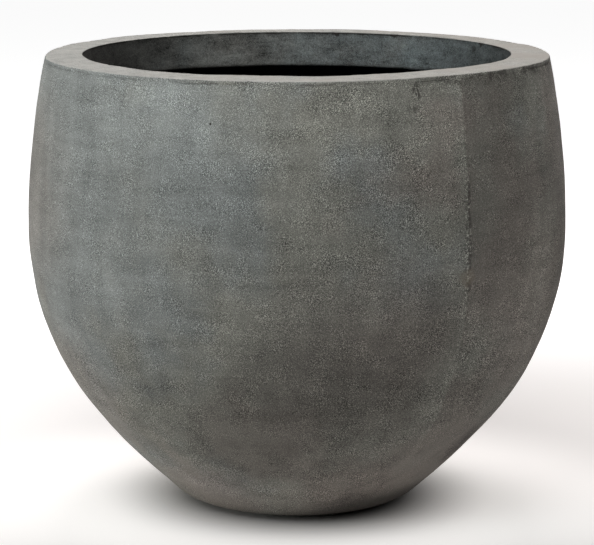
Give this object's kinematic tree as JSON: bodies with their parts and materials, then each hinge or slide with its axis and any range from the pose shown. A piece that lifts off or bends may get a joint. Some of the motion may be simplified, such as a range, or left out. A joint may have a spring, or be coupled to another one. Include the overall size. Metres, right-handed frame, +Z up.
{
  "type": "cachepot",
  "caption": "Ball-shaped floor cachepot with a broad flat rim turned down inside as a short skirt; moulded half shells on a base disc with a pull-out drain plug.",
  "frame": {"origin": "on the pot's axis at floor level, the centre of the foot circle under the pads", "axes": "+Z up along the axis; the parting plane of the half shells is X = 0, with the front seam at -Y and the back seam at +Y"},
  "size_m": [0.6698, 0.67, 0.564],
  "materials": {
    "left_shell_clay": "matte",
    "right_shell_clay": "matte",
    "rim_clay": "matte",
    "base_coat": "matte",
    "seam_laminate": "satin",
    "plug_rubber": "matte",
    "pad_rubber": "matte"
  },
  "bodies": {
    "pot": {"left_shell": "left_shell_clay", "right_shell": "right_shell_clay", "rim_ring": "rim_clay", "base_disc": "base_coat", "front_seam_strip": "seam_laminate", "back_seam_strip": "seam_laminate", "floor_pads": "pad_rubber"},
    "plug": {"drain_plug": "plug_rubber"}
  },
  "joints": [
    {"name": "drain_plug_lift", "type": "slide", "parent": "pot", "child": "plug", "axis": [0, 0, 1], "range_m": [0, 0.6]}
  ]
}
